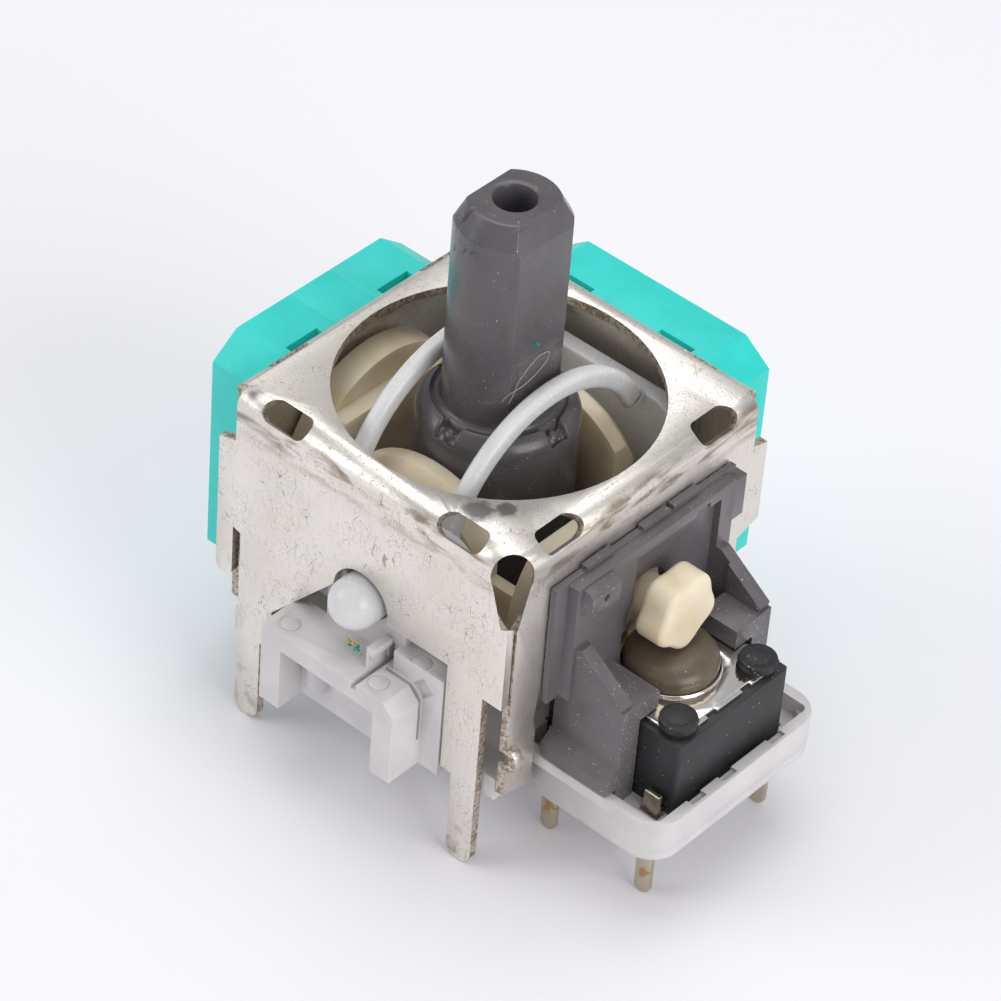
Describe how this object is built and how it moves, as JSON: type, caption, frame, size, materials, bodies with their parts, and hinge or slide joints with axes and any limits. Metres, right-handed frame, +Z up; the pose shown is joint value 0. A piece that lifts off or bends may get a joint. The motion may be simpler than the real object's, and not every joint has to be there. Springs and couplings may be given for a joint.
{
  "type": "controller analog stick",
  "caption": "Two-axis analog stick module in a folded metal cover, with crossed swing arms, side-mounted rotary sensors and a push switch worked through the lower arm.",
  "frame": {"origin": "in the board plane (underside of the base), straight below the stick's pivot", "axes": "+Z up along the stick, +X towards the push switch, +Y towards the second rotary sensor"},
  "size_m": [0.022, 0.0179, 0.0234],
  "materials": {
    "cover_metal": "nickel-plated folded sheet, satin, finely scratched",
    "base_plastic": "light grey moulding",
    "holder_plastic": "dark grey moulding",
    "switch_black": "black moulding",
    "switch_metal": "bright nickel plate",
    "plunger_plastic": "dark brown, smooth",
    "contact_metal": "tinned copper alloy",
    "sensor_plastic": "turquoise green moulding",
    "sensor_element": "resistance track on card",
    "pin_metal": "tinned pins",
    "rotor_plastic": "off-white moulding",
    "wiper_metal": "springy contact leaf",
    "stick_plastic": "warm dark grey moulding",
    "spring_metal": "spring wire",
    "disc_plastic": "black moulding",
    "lower_arm_plastic": "cream moulding",
    "upper_arm_plastic": "milky natural plastic"
  },
  "bodies": {
    "housing": {"frame_cover": "cover_metal", "base": "base_plastic", "switch_holder": "holder_plastic", "switch_body": "switch_black", "switch_cover_plate": "switch_metal", "switch_snap_dome": "switch_metal", "switch_terminal_near": "contact_metal", "switch_terminal_far": "contact_metal", "x_sensor_housing": "sensor_plastic", "x_sensor_element": "sensor_element", "x_sensor_pins": "pin_metal", "y_sensor_housing": "sensor_plastic", "y_sensor_element": "sensor_element", "y_sensor_pins": "pin_metal", "return_disc": "disc_plastic"},
    "x_rotor": {"x_sensor_rotor": "rotor_plastic", "x_sensor_wiper": "wiper_metal"},
    "lower_arm": {"lower_arm": "lower_arm_plastic"},
    "stick": {"stick": "stick_plastic", "return_spring": "spring_metal"},
    "upper_arm": {"upper_arm": "upper_arm_plastic", "y_sensor_rotor": "rotor_plastic", "y_sensor_wiper": "wiper_metal"},
    "plunger": {"switch_plunger": "plunger_plastic"}
  },
  "joints": [
    {"name": "side_swing", "type": "hinge", "parent": "housing", "child": "x_rotor", "pos_m": [0, 0, 0.0058], "axis": [1, 0, 0], "range_deg": [-20, 20], "stiffness_Nm_per_rad": 0.023},
    {"name": "press", "type": "hinge", "parent": "x_rotor", "child": "lower_arm", "pos_m": [-0.0075, 0, 0.0058], "axis": [0, 1, 0], "range_deg": [0, 0.88], "stiffness_Nm_per_rad": 2.1},
    {"name": "fore_swing", "type": "hinge", "parent": "lower_arm", "child": "stick", "pos_m": [0, 0, 0.0058], "axis": [0, 1, 0], "range_deg": [-20, 20], "stiffness_Nm_per_rad": 0.023, "deforming": ["return_spring"]},
    {"name": "arch_swing", "type": "hinge", "parent": "housing", "child": "upper_arm", "pos_m": [0, 0, 0.0058], "axis": [0, 1, 0], "range_deg": [-21, 21]},
    {"name": "plunger_slide", "type": "slide", "parent": "housing", "child": "plunger", "axis": [0, 0, -1], "range_m": [0, 0.00025]}
  ],
  "couplings": [
    {"joint": "arch_swing", "follows": "fore_swing", "ratio": 1.04},
    {"joint": "plunger_slide", "follows": "press", "m_per_rad": 0.0162}
  ]
}
